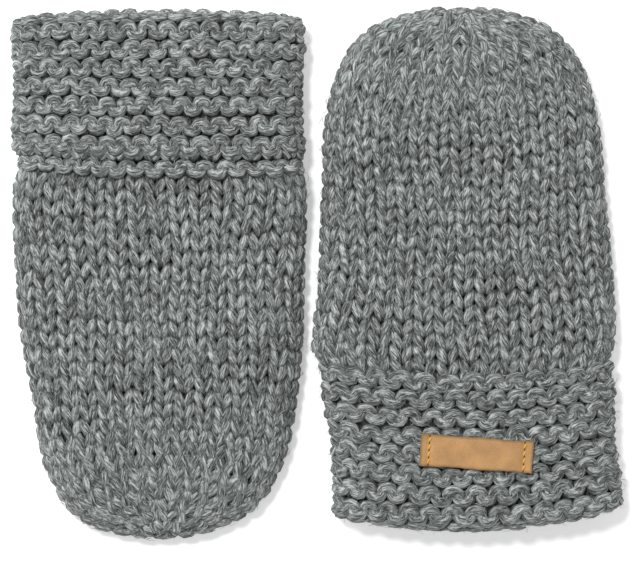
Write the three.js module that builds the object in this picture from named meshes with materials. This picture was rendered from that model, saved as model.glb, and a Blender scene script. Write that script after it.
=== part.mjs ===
// A pair of thumbless baby mittens, knitted in thick grey wool and laid flat beside each other,
// the left one with its tip towards -Y and the right one with its tip towards +Y. Each is a
// flattened tube in two pieces: a plain knit body, closed at its tip, and a cuff of raised
// ridges that is turned up on itself at the mouth. The right cuff carries a leather label.
// Millimetres, +Z up, standing on z = 0, with the origin under the middle of the pair.
import * as THREE from "three";

// Cloth of the cuff, which lies in two layers above the hand and two below it
const OUTER_LAYER = 2.4;
const LAYER_GAP = 0.3;
const INNER_LAYER = 2.4;
const HAND_SPACE = 4.4;
const FREE_EDGE = 38.2; // from the mouth to the edge of the part that is turned up
const FREE_EDGE_ROUNDING = 0.5;
const CUFF_LENGTH = 43; // from the mouth to the seam with the body
const CUFF_CROWN = 0.5;

// Cloth of the body, which leaves the cuff above the surface and sinks to it
const BODY_WALL = 2.6;
const SEAM_GAP = 0.3;
const SINKING_LENGTH = 24;
const TIP_ROUNDING = 1.2;
const INNER_END = 0.88; // share of the body's sections that the hand's space reaches
const CROWN_REACH = 22; // from the side of a mitten to where its upper cloth is full

// Knitted ridges of the cuff
const RIDGES = 8;
const RIDGE_HEIGHT = 1.0;
const LAST_RIDGE_HEIGHT = 1.7; // of the one that shows past the free edge

// Label
const LABEL_LENGTH = 30.1;
const LABEL_WIDTH = 8.8;
const LABEL_THICKNESS = 1.1;
const LABEL_CORNER = 0.8;
const LABEL_BEVEL = 0.25;
const LABEL_TURN = THREE.MathUtils.degToRad(-4.5);
const LABEL_FROM_MIDDLE = 2.9;
const LABEL_FROM_MOUTH = 20.9;
const LABEL_CLEARANCE = 0.3;

// How finely the solids are divided
const HALF_RING_STEPS = 14;
const BODY_OUTER_RINGS = 22;
const BODY_INNER_RINGS = 9;
const CUFF_INNER_RINGS = 6;
const FOLD_STEPS = 4;
const STEPS_PER_RIDGE = 3;

const CUFF_CLOTH = OUTER_LAYER + LAYER_GAP + INNER_LAYER;
const CUFF_HALF_HEIGHT = CUFF_CLOTH + HAND_SPACE / 2;
const LIFT = CUFF_CLOTH - BODY_WALL;
const BODY_HALF_HEIGHT = CUFF_HALF_HEIGHT - LIFT;

// Sections across each mitten, from its mouth to its tip. Left and right are its sides with
// the tip pointing away. A bow is how far a row's middle lies nearer the mouth than its ends,
// and a tilt is how much further from the mouth the row's right end lies than its left end.
const MITTENS = [
  {
    name: "left",
    mouth: new THREE.Vector3(-42.3, 70.25, 0),
    turn: Math.PI,
    cuff: [
      { along: 1.7, left: -37.6, right: 38.2, bow: 1.5, tilt: 0.4 },
      { along: 7, left: -38.4, right: 38.8, bow: 0.6, tilt: 0 },
      { along: 20, left: -38.0, right: 38.0, bow: 0, tilt: 0 },
      { along: 31, left: -38.2, right: 38.4, bow: -0.6, tilt: -0.6 },
      { along: 43, left: -39.6, right: 38.2, bow: -1.8, tilt: -1.2 },
    ],
    body: [
      { along: 43, left: -38.2, right: 36.8, bow: -1.8, tilt: -1.2 },
      { along: 49, left: -39.4, right: 38.6, bow: -1.6, tilt: -0.8 },
      { along: 68, left: -38.8, right: 38.2, bow: -1.0, tilt: 0 },
      { along: 87, left: -38.4, right: 36.8, bow: -0.6, tilt: 0 },
      { along: 103, left: -36.9, right: 33.9, bow: -0.2, tilt: 0 },
      { along: 116, left: -34.8, right: 31.9, bow: 0, tilt: 0 },
      { along: 126, left: -30.9, right: 28.2, bow: 0, tilt: 0 },
      { along: 134, left: -24.4, right: 22.6, bow: 0, tilt: 0 },
      { along: 138.6, left: -14.6, right: 14.2, bow: 0, tilt: 0 },
      { along: 141.3, left: -4.6, right: 1.8, bow: 0, tilt: 0 },
    ],
  },
  {
    name: "right",
    mouth: new THREE.Vector3(39.85, -68.75, 0),
    turn: 0,
    cuff: [
      { along: 4.6, left: -35.2, right: 41.0, bow: 4.4, tilt: 2.2 },
      { along: 10, left: -34.8, right: 41.3, bow: 3.6, tilt: 1.6 },
      { along: 21, left: -35.0, right: 39.8, bow: 2.8, tilt: 0.8 },
      { along: 32, left: -36.6, right: 39.2, bow: 2.8, tilt: 0.4 },
      { along: 44.6, left: -39.4, right: 39.6, bow: 3.2, tilt: 0.4 },
    ],
    body: [
      { along: 44.6, left: -38.2, right: 37.4, bow: 3.2, tilt: 0.4 },
      { along: 50, left: -40.6, right: 39.6, bow: 3.0, tilt: 0 },
      { along: 64, left: -39.1, right: 39.7, bow: 2.0, tilt: 0 },
      { along: 86, left: -38.2, right: 37.8, bow: 1.0, tilt: 0 },
      { along: 106, left: -37.6, right: 36.2, bow: 0.4, tilt: 0 },
      { along: 118, left: -35.4, right: 33.6, bow: 0, tilt: 0 },
      { along: 127, left: -31.8, right: 29.2, bow: 0, tilt: 0 },
      { along: 133.5, left: -26.4, right: 23.0, bow: 0, tilt: 0 },
      { along: 137.6, left: -17.4, right: 14.6, bow: 0, tilt: 0 },
      { along: 139.8, left: -5.0, right: 2.2, bow: 0, tilt: 0 },
    ],
  },
];

const WOOL = new THREE.MeshStandardMaterial({ color: 0x747a78, roughness: 0.95, metalness: 0 });
const LEATHER = new THREE.MeshStandardMaterial({ color: 0xc79b67, roughness: 0.6, metalness: 0 });

// The height of a quarter circle at a distance in from its foot.
function rounded(distance, radius) {
  const rest = 1 - THREE.MathUtils.clamp(distance / radius, 0, 1);
  return radius * Math.sqrt(1 - rest * rest);
}

// Numbers from the first to the last in equal steps, both included.
function spread(first, last, count) {
  return Array.from({ length: count }, (_, i) => first + ((last - first) * i) / (count - 1));
}

// A smooth run of sections through a table's rows, asked for by the share of the way through.
function makeSections(rows) {
  const sides = rows.map((row) => new THREE.Vector3(row.left, row.right, row.along));
  const lean = rows.map((row) => new THREE.Vector3(row.bow, row.tilt, row.along));
  const sideCurve = new THREE.CatmullRomCurve3(sides, false, "centripetal");
  const leanCurve = new THREE.CatmullRomCurve3(lean, false, "centripetal");
  return (share) => {
    const place = sideCurve.getUtoTmapping(share);
    const { x: left, y: right, z: along } = sideCurve.getPoint(place);
    const { x: bow, y: tilt } = leanCurve.getPoint(place);
    return { left, right, along, bow, tilt };
  };
}

// One closed ring around a flattened tube, over the hand from left to right and back under it.
// Depth draws it into the cloth. Relief pushes it out above and beside the hand only, so that
// the underside stays flat.
function makeRing(section, { halfHeight, middle, depth = 0, relief = 0, crown = 0 }) {
  const halfWidth = (section.right - section.left) / 2 - depth;
  const radius = Math.min(halfHeight - depth, halfWidth);
  return Array.from({ length: 2 * HALF_RING_STEPS }, (_, step) => {
    const upper = step <= HALF_RING_STEPS;
    const turn = (upper ? step : 2 * HALF_RING_STEPS - step) / HALF_RING_STEPS;
    const across = -Math.cos(Math.PI * turn);
    const fromSide = halfWidth * (1 - Math.abs(across));
    const rise = rounded(fromSide, radius);
    const share = rise / radius;
    const swell = crown * Math.sin((Math.PI / 2) * Math.min(1, fromSide / CROWN_REACH));
    const out = upper ? relief : relief * (1 - share);
    return new THREE.Vector3(
      (section.left + section.right) / 2 + across * (halfWidth + out),
      section.along - section.bow * (1 - across * across) + (section.tilt * across) / 2,
      upper ? middle + rise + relief * share + swell : middle - rise,
    );
  });
}

// The volume that a list of triangles closes in, below zero where they face inwards.
function enclosedVolume(points, triangles) {
  let sum = 0;
  for (let i = 0; i < triangles.length; i += 3) {
    const [a, b, c] = triangles.slice(i, i + 3).map((corner) => points[corner]);
    sum += a.dot(new THREE.Vector3().crossVectors(b, c)) / 6;
  }
  return sum;
}

// A closed solid through a list of rings. Either its last ring is joined to its first one, or
// both are filled in.
function skin(rings, looped) {
  const size = rings[0].length;
  const points = rings.flat();
  const triangles = [];
  const joins = looped ? rings.length : rings.length - 1;
  for (let row = 0; row < joins; row += 1) {
    const next = (row + 1) % rings.length;
    for (let i = 0; i < size; i += 1) {
      const j = (i + 1) % size;
      const corners = [row * size + i, row * size + j, next * size + j, next * size + i];
      triangles.push(corners[0], corners[1], corners[2], corners[0], corners[2], corners[3]);
    }
  }
  const ends = looped ? [] : [0, rings.length - 1];
  for (const row of ends) {
    const middle = rings[row].reduce((sum, point) => sum.add(point), new THREE.Vector3());
    const hub = points.push(middle.divideScalar(size)) - 1;
    for (let i = 0; i < size; i += 1) {
      const edge = [row * size + i, row * size + ((i + 1) % size)];
      triangles.push(hub, ...(row === 0 ? edge.reverse() : edge));
    }
  }
  if (enclosedVolume(points, triangles) < 0) triangles.reverse();
  const geometry = new THREE.BufferGeometry().setFromPoints(points);
  geometry.setIndex(triangles);
  geometry.computeVertexNormals();
  return geometry;
}

// The body: one wall around the hand's space, from the seam with the cuff to the closed tip.
// The wall's inner side is shorter than its outer side, which closes the tip.
function makeBody(rows) {
  const sectionAt = makeSections(rows);
  const seam = rows[0].along;
  const tip = rows[rows.length - 1].along;
  const ringAt = (share, depth) => {
    const section = sectionAt(share);
    const sunk = THREE.MathUtils.smoothstep(section.along, seam, seam + SINKING_LENGTH);
    const full = BODY_HALF_HEIGHT - depth;
    const room = rounded(tip - section.along + TIP_ROUNDING, full);
    const shortened = (tip - seam - SEAM_GAP - depth) / (tip - seam);
    section.along = seam + SEAM_GAP + (section.along - seam) * shortened;
    return makeRing(section, {
      halfHeight: room + depth,
      middle: BODY_HALF_HEIGHT + LIFT * (1 - sunk),
      depth,
      crown: (LIFT * sunk * room) / full,
    });
  };
  const inner = spread(INNER_END, 0, BODY_INNER_RINGS).map((share) => ringAt(share, BODY_WALL));
  const outer = spread(0, 1, BODY_OUTER_RINGS).map((share) => ringAt(share, 0));
  return skin([...inner, ...outer], false);
}

// The cuff: one wall that runs from the seam to the mouth inside, folds over there, and runs
// back outside to its free edge. Each stop is a distance from the mouth and a depth in the
// cloth, and together they go once around the wall.
function makeCuff(rows) {
  const sectionAt = makeSections(rows);
  const fold = CUFF_CLOTH / 2;
  const underLayer = OUTER_LAYER + LAYER_GAP;
  const ridgeStep = FREE_EDGE / (RIDGES * STEPS_PER_RIDGE);
  const ridgeSteps = RIDGES * STEPS_PER_RIDGE - Math.ceil(fold / ridgeStep);
  const ridges = Array.from({ length: ridgeSteps + 1 }, (_, i) => ({
    from: FREE_EDGE - i * ridgeStep,
    depth: 0,
    relief: RIDGE_HEIGHT * Math.sin((Math.PI * (i % STEPS_PER_RIDGE)) / STEPS_PER_RIDGE),
  }));
  const mouth = spread(0, Math.PI, FOLD_STEPS + 1).map((turn) => ({
    from: fold * (1 - Math.sin(turn)),
    depth: fold * (1 - Math.cos(turn)),
  }));
  const inside = spread(fold, CUFF_LENGTH, CUFF_INNER_RINGS).slice(1);
  const lastRidgeStart = FREE_EDGE + FREE_EDGE_ROUNDING + LAYER_GAP;
  const lastRidge = spread(0, Math.PI, FOLD_STEPS + 1).map((turn) => ({
    from: THREE.MathUtils.lerp(CUFF_LENGTH, lastRidgeStart, turn / Math.PI),
    depth: underLayer - LAST_RIDGE_HEIGHT * Math.sin(turn),
  }));
  const between = spread(FREE_EDGE, fold, CUFF_INNER_RINGS);
  const stops = [
    ...ridges,
    ...mouth,
    ...inside.map((from) => ({ from, depth: CUFF_CLOTH })),
    ...lastRidge,
    ...between.map((from) => ({ from, depth: underLayer })),
    ...between.reverse().map((from) => ({ from, depth: OUTER_LAYER })),
    { from: FREE_EDGE + FREE_EDGE_ROUNDING, depth: OUTER_LAYER / 2 },
  ];
  const rings = stops.map(({ from, depth, relief }) =>
    makeRing(sectionAt(from / CUFF_LENGTH), {
      halfHeight: CUFF_HALF_HEIGHT,
      middle: CUFF_HALF_HEIGHT,
      depth,
      relief,
      crown: CUFF_CROWN,
    }),
  );
  return skin(rings, true);
}

// The label: a strip with rounded corners, which lies along the crests of the ridges.
function makeLabel() {
  const x = LABEL_LENGTH / 2 - LABEL_BEVEL;
  const y = LABEL_WIDTH / 2 - LABEL_BEVEL;
  const shape = new THREE.Shape();
  shape.moveTo(-x + LABEL_CORNER, -y);
  shape.absarc(x - LABEL_CORNER, -y + LABEL_CORNER, LABEL_CORNER, -Math.PI / 2, 0);
  shape.absarc(x - LABEL_CORNER, y - LABEL_CORNER, LABEL_CORNER, 0, Math.PI / 2);
  shape.absarc(-x + LABEL_CORNER, y - LABEL_CORNER, LABEL_CORNER, Math.PI / 2, Math.PI);
  shape.absarc(-x + LABEL_CORNER, -y + LABEL_CORNER, LABEL_CORNER, Math.PI, Math.PI * 1.5);
  const geometry = new THREE.ExtrudeGeometry(shape, {
    depth: LABEL_THICKNESS - 2 * LABEL_BEVEL,
    bevelThickness: LABEL_BEVEL,
    bevelSize: LABEL_BEVEL,
    bevelSegments: 1,
    curveSegments: 3,
  });
  return geometry.translate(0, 0, LABEL_BEVEL);
}

const pair = new THREE.Group();
for (const { name, mouth, turn, cuff, body } of MITTENS) {
  const mitten = new THREE.Group();
  mitten.position.copy(mouth);
  mitten.rotation.z = turn;
  const pieces = { body: makeBody(body), cuff: makeCuff(cuff) };
  for (const [piece, geometry] of Object.entries(pieces)) {
    const mesh = new THREE.Mesh(geometry, WOOL.clone());
    mesh.name = `${name}_${piece}`;
    mitten.add(mesh);
  }
  if (name === "right") {
    const label = new THREE.Mesh(makeLabel(), LEATHER);
    const crests = RIDGE_HEIGHT * Math.sin(Math.PI / STEPS_PER_RIDGE);
    const height = 2 * CUFF_HALF_HEIGHT + CUFF_CROWN + crests + LABEL_CLEARANCE;
    label.name = "label";
    label.position.set(LABEL_FROM_MIDDLE, LABEL_FROM_MOUTH, height);
    label.rotation.z = LABEL_TURN;
    mitten.add(label);
  }
  pair.add(mitten);
}
export default pair;
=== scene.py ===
# The looks of a pair of knitted baby mittens: real yarn loops over a thin cloth, a leather
# label and its sewing, on a plain pale floor.
import math
from collections import namedtuple

import bpy
import numpy as np
from bpy.props import FloatProperty, FloatVectorProperty, IntProperty, PointerProperty
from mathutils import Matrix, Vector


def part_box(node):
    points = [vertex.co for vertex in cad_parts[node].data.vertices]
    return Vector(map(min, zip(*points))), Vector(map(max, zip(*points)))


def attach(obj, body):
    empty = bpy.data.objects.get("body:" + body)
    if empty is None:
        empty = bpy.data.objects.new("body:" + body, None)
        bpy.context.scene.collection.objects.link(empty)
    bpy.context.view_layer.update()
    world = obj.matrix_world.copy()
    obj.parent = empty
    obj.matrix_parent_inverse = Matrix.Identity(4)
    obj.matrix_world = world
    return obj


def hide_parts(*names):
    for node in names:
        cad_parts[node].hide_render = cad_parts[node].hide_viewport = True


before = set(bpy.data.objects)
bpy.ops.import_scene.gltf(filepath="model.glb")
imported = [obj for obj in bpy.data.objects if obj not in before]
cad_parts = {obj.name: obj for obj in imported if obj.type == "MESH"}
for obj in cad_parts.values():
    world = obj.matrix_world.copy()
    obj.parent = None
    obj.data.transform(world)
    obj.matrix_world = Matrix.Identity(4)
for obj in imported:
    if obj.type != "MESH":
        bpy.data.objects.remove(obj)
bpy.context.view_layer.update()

bl_info = {
    "name": "Knitted baby mittens",
    "version": (1, 0, 0),
    "blender": (4, 5, 0),
    "location": "View3D > Sidebar > Mittens",
    "description": "Knits a pair of thumbless mittens in real loops and sews on a label",
    "category": "Add Mesh",
}

MM = 0.001
TURN = 2 * math.pi

# The cloth: how thick the cuff is, half its height at the sides, how much higher its middle is,
# and how far its free edge and its seam lie from the mouth. Half the body's height at the sides,
# how far it is lifted at the cuff, and over what length it sinks from there. How far in from the
# sides both still rise.
CUFF_CLOTH = 5.1 * MM
CUFF_HALF_HEIGHT = 7.3 * MM
CUFF_CROWN = 0.5 * MM
FREE_EDGE = 38.2 * MM
CUFF_LENGTH = 43 * MM
BODY_HALF_HEIGHT = 4.8 * MM
LIFT = 2.5 * MM
SINKING_LENGTH = 24 * MM
CROWN_REACH = 22 * MM

# The body's cloth, in shares of the way from seam to tip: where it starts and ends, and where its
# outward directions start to fan out and over what share. They fan out round places this far in.
BODY_START = -0.05
BODY_END = 0.985
FAN_START = 0.86
FAN_LENGTH = 0.08
FAN_INSIDE = 6 * MM

# How far the body's cloth stands out past the solid's, and how much it faces down where it stops
STANDING_OUT = 0.5 * MM
FACING_DOWN = 0.7

# The cuff's path runs from the free edge to the fold, round it and back inside to the seam. Its
# fold is a half circle, tucked in a little, and its inner side is knitted only near the mouth.
FOLD = CUFF_CLOTH / 2
FOLD_LENGTH = math.pi * FOLD
FOLD_TUCK = 0.7 * MM
CUFF_PATH = (FREE_EDGE - FOLD) + FOLD_LENGTH + (CUFF_LENGTH - FOLD)
INNER_REACH = 11.5 * MM

# The strip of cuff past the free edge: how far it reaches under the edge and under the body, how
# deep it lies, how high it arches, and how much less deep its end at the body is
STRIP_HIDDEN = 2.2 * MM
STRIP_UNDER_BODY = 3.6 * MM
STRIP = CUFF_LENGTH - FREE_EDGE + STRIP_HIDDEN + STRIP_UNDER_BODY
STRIP_DEPTH = 3.6 * MM
STRIP_ARCH = 2.6 * MM
STRIP_RISE = 1.1 * MM

# Sections across a mitten in millimetres, from its mouth to its tip. Left and right are its
# sides with the tip pointing away. A bow is how far a row's middle lies nearer the mouth than
# its ends, and a tilt is how much further from the mouth its right end lies than its left. The
# mouth's place and the turn put a mitten in the pair, and its last ridge is stretched and raised.
Section = namedtuple("Section", "along left right bow tilt")
Mitten = namedtuple(
    "Mitten",
    "mouth turn tip cuff body points_to_mouth rows ridge_stitches ridge_start ridge_pitch"
    " last_stretch last_raised seed",
)
LEFT = Mitten(
    mouth=(-42.3, 70.25),
    turn=math.pi,
    tip=(-1.6, 141.6),
    cuff=(
        Section(1.7, -37.6, 38.2, 1.5, 0.4),
        Section(7, -38.4, 38.8, 0.6, 0),
        Section(20, -38.0, 38.0, 0, 0),
        Section(31, -38.2, 38.4, -0.6, -0.6),
        Section(43, -39.6, 38.2, -1.8, -1.2),
    ),
    body=(
        Section(43, -38.2, 36.8, -1.8, -1.2),
        Section(49, -39.4, 38.6, -1.6, -0.8),
        Section(68, -38.8, 38.2, -1.0, 0),
        Section(87, -38.4, 36.8, -0.6, 0),
        Section(103, -36.9, 33.9, -0.2, 0),
        Section(116, -34.8, 31.9, 0, 0),
        Section(126, -30.9, 28.7, 0, 0),
        Section(134, -24.4, 23.5, 0, 0),
        Section(138.6, -14.6, 15.6, 0, 0),
    ),
    points_to_mouth=False,
    rows=28,
    ridge_stitches=34,
    ridge_start=0.55 * MM,
    ridge_pitch=5.0 * MM,
    last_stretch=0.84,
    last_raised=0.5 * MM,
    seed=11,
)
RIGHT = Mitten(
    mouth=(39.85, -68.75),
    turn=0.0,
    tip=(-1.4, 140.0),
    cuff=(
        Section(4.6, -35.2, 41.0, 4.4, 2.2),
        Section(10, -34.8, 41.3, 3.6, 1.6),
        Section(21, -35.0, 39.8, 2.8, 0.8),
        Section(32, -36.6, 39.2, 2.8, 0.4),
        Section(44.6, -39.4, 39.6, 3.2, 0.4),
    ),
    body=(
        Section(44.6, -38.2, 37.4, 3.2, 0.4),
        Section(50, -40.6, 39.6, 3.0, 0),
        Section(64, -39.1, 39.7, 2.0, 0),
        Section(86, -38.2, 37.8, 1.0, 0),
        Section(106, -37.6, 36.2, 0.4, 0),
        Section(118, -35.4, 33.6, 0, 0),
        Section(127, -31.8, 29.8, 0, 0),
        Section(133.5, -26.4, 23.9, 0, 0),
        Section(137.6, -17.4, 15.8, 0, 0),
    ),
    points_to_mouth=True,
    rows=30,
    ridge_stitches=30,
    ridge_start=0.0,
    ridge_pitch=5.3 * MM,
    last_stretch=1.0,
    last_raised=1.0 * MM,
    seed=23,
)
MITTENS = {"left": LEFT, "right": RIGHT}

# Rows of stitches: how many times as many would fit along the middle of a body if none were
# squeezed at the tip, how few stitches a row has, how far around the next row's first joined
# stitch lies, in turns, and how much of the way the others then close up
EVEN_ROWS = 1.13
FEWEST_STITCHES = 6
JOIN_STEP = 0.382
JOIN_SPREAD = 0.8

# How uneven hand-made stitches are: places in stitches and rows, thickness and tone in shares,
# and how much more uneven the cuffs are than the bodies
CUFF_UNEVEN = 1.8
UNEVEN_ACROSS = 0.025
UNEVEN_DEPTH = 0.1 * MM
UNEVEN_YARN = 0.04
UNEVEN_TONE = 0.6
WANDER = 0.16
STRAY = 0.06

# Yarn that has more or less room than a stitch of even width swells or narrows, within limits.
# In cloth that is thinner than the full depth, loops lie less deep.
EVEN_WIDTH = 5.2 * MM
LEAST_ROOM = 0.8
MOST_ROOM = 1.5
ROOM_POWER = 0.65
FULL_DEPTH = 5 * MM

# Where a body closes: the share of its girth that is lost at first and the further share until
# the yarn has changed, how much thicker it is then, how much less painted shade its hollows get,
# and the last place of a loop's head in the cloth
CLOSING_START = 0.05
CLOSING_LENGTH = 0.2
CLOSING_YARN = 0.16
CLOSING_FILL = 0.5
LAST_HEADS = 0.975

# Rounds of yarn that draw the tip together: place in the cloth, depth and share of the girth.
# Then their points, the height and number of their waves, their radius for a yarn of thickness
# 1, the depth that their painted hollow shade is taken at, how far their middle swells out and
# how far all are sunk.
TIP_ROUNDS = (
    (0.985, 1.1 * MM, 1.0),
    (0.999, 2.0 * MM, 1.0),
    (0.999, 2.0 * MM, 0.62),
    (0.999, 2.0 * MM, 0.22),
)
ROUND_STEPS = 60
ROUND_WAVE = 0.004
ROUND_WAVES = 5
ROUND_YARN = 0.48
ROUND_SHADE = 1.2 * MM
TIP_SWELL = 0.5 * MM
TIP_SUNK = 0.9 * MM

# Ridges: how high they stand, how flat their loops' heads are, the place and height of the plain
# row at a free edge that starts with no ridge, and how far past the edge the last ridge lies
RIDGE_HEIGHT = 0.9 * MM
FLATNESS = 0.8
EDGE_ROW = 0.8 * MM
EDGE_ROW_HEIGHT = 0.8
LAST_RIDGE = 2.7 * MM

# The thin cloth under the yarn: how deep it lies and how thick it is, where a body's ends, where
# a cuff's starts and ends, and its colour, a dark grey that paints the shade between the loops
BODY_SHELL = (3.0 * MM, 0.5 * MM)
CUFF_SHELL = (2.1 * MM, 0.3 * MM)
BODY_SHELL_END = 0.95
CUFF_SHELL_ENDS = (0.005, 0.995)
SHADE_BACKING_COLOUR = (62, 66, 65)

# Yarn: how far it runs for one turn of its twist, and how far along the fibres' pattern each
# next course starts, in millimetres
TWIST_LENGTH = 60 * MM
COURSES_APART = 61.7

# Loose fibres: their size and their tone, a painted highlight that makes them lighter than the
# yarn, how deep the yarn may lie that they grow on, and how many a cuff has for each one of a
# body. Across, a fibre has three corners.
FIBRE = 0.11 * MM
FIBRE_LENGTH = 2.2 * MM
FIBRE_HIGHLIGHT_TONE = 5.0
FUZZ_DEPTH = 1.7 * MM
CUFF_FUZZ = 0.6
THIRDS = (0, TURN / 3, 2 * TURN / 3)
RING = ((0, 1), (1, 2), (2, 0))

# A course of yarn: its points, the ways out of the cloth there, its radius, depth and tone, where
# the depth also sets its painted shade and the tone can hold painted light
Course = namedtuple("Course", "points out radius depth tone")

# The label's place beside the solid's, its cut edge, and its stitches' and needle holes' sizes
LABEL_SHIFT = (-0.45 * MM, 0.25 * MM)
CUT_EDGE = 0.16 * MM
THREAD = (0.5 * MM, 1.5 * MM, 0.42 * MM)
THREAD_RISE = 0.12 * MM
NEEDLE_HOLE = (0.42 * MM, 0.8 * MM, 0.14 * MM)
STITCH_SLANT = math.radians(-28)

# The photograph's frame: its middle and the pair's middle in pixels, and a pixel's size
PHOTO_MIDDLE = (320, 282)
PAIR_MIDDLE = (316.3, 273.2)
PIXEL = 0.2667 * MM

# The lights' places and sizes, the camera's lens, how high above the floor its view has its
# stated width, and the floor's size
KEY_PLACE = (-0.22, 0.29, 0.9)
KEY_SIZE = 0.16
SIDE_PLACE = (-0.5, 0.38, 0.33)
SIDE_SIZE = 0.3
LENS = 135.0
SENSOR = 36.0
FACE_HEIGHT = 10 * MM
FLOOR_SIZE = 4.0

# How finely curves, cloth and yarn are divided
CURVE_STEPS = 20
SIDE_POINTS = 260
RING_POINTS = 480
CUFF_TABLE = 200
CLOTH_ROWS = 150
CLOTH_TURN = 448
STRIP_ROWS = 40
SHELL_TURN = 64
BODY_SHELL_ROWS = 24
CUFF_SHELL_ROWS = 44
YARN_SIDES = 8
BODY_STEPS = 14
CUFF_STEPS = 14


def smooth_path(points, count=None):
    """A smooth curve through the points. With a count, its points are evenly spaced."""
    points = np.asarray(points, float)
    ends = np.vstack([2 * points[0] - points[1], points, 2 * points[-1] - points[-2]])
    t = np.linspace(0, 1, CURVE_STEPS, endpoint=False)[:, None]
    pieces = [
        0.5 * (2 * b + (c - a) * t + (2 * a - 5 * b + 4 * c - d) * t**2 + (3 * b - a - 3 * c + d) * t**3)
        for a, b, c, d in zip(ends, ends[1:], ends[2:], ends[3:])
    ]
    path = np.vstack(pieces + [points[-1:]])
    return path if count is None else spaced(path, np.linspace(0, 1, count))


def spaced(path, shares):
    """Places at shares of a path's length."""
    steps = np.linalg.norm(np.diff(path, axis=0), axis=1)
    length = np.concatenate([[0], np.cumsum(steps)])
    at = np.asarray(shares) * length[-1]
    return np.stack([np.interp(at, length, path[:, i]) for i in range(path.shape[1])], axis=-1)


def rounded(distance, radius):
    """The height of a quarter circle at a distance in from its foot."""
    rest = 1 - np.clip(distance / radius, 0, 1)
    return radius * np.sqrt(1 - rest**2)


def smoothstep(x):
    x = np.clip(x, 0, 1)
    return x * x * (3 - 2 * x)


def evenly_around(ring, count):
    """The same closed ring with its points evenly spaced, from the same first point."""
    closed = np.vstack([ring, ring[:1]])
    return spaced(closed, np.arange(count) / count)


def unit(vectors):
    return vectors / np.linalg.norm(vectors, axis=-1, keepdims=True)


class Cloth:
    """A tube of cloth as a grid of points, closed around, with its outward directions."""

    def __init__(self, points, last=1.0, span=1.0, uneven=1.0):
        self.last = last
        self.span = span
        self.uneven = uneven
        around = np.roll(points, -1, 1) - np.roll(points, 1, 1)
        onward = np.gradient(points, axis=0)
        out = np.cross(around, onward)
        self.points = points
        self.out = out / np.maximum(np.linalg.norm(out, axis=2, keepdims=True), 1e-15)
        self.around = np.linalg.norm(np.roll(points, -1, 1) - points, axis=2).sum(axis=1)
        self.room = np.ptp(points[:, :, [0, 2]], axis=1).min(axis=1) / 2

    def at(self, share, turn, depth=0.0):
        """Places and outward directions at shares along and around, sunk by a depth."""
        rows, columns = self.points.shape[:2]
        row = np.clip(np.asarray(share) * (rows - 1), 0, rows - 1.000001)
        column = (np.asarray(turn) % 1) * columns
        i = row.astype(int)
        j = column.astype(int) % columns
        a = (row - i)[:, None]
        b = (column - np.floor(column))[:, None]
        k = (j + 1) % columns
        place, out = (
            (g[i, j] * (1 - b) + g[i, k] * b) * (1 - a) + (g[i + 1, j] * (1 - b) + g[i + 1, k] * b) * a
            for g in (self.points, self.out)
        )
        out = out / np.linalg.norm(out, axis=1, keepdims=True)
        return place - out * np.asarray(depth)[..., None], out

    def length_around(self, share):
        rows = len(self.around)
        return float(np.interp(share * (rows - 1), np.arange(rows), self.around))

    def room_for(self, share, depth):
        """The share of a depth that fits, where the tube is too thin for it."""
        rows = len(self.room)
        return np.minimum(1, np.interp(share * (rows - 1), np.arange(rows), self.room) / depth) ** 2


def placed(mitten, points):
    """Points of one mitten, moved from its own place to its place in the pair."""
    cos, sin = math.cos(mitten.turn), math.sin(mitten.turn)
    x, y, z = np.moveaxis(points, -1, 0)
    return np.stack(
        [cos * x - sin * y + mitten.mouth[0] * MM, sin * x + cos * y + mitten.mouth[1] * MM, z], axis=-1
    )


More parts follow.
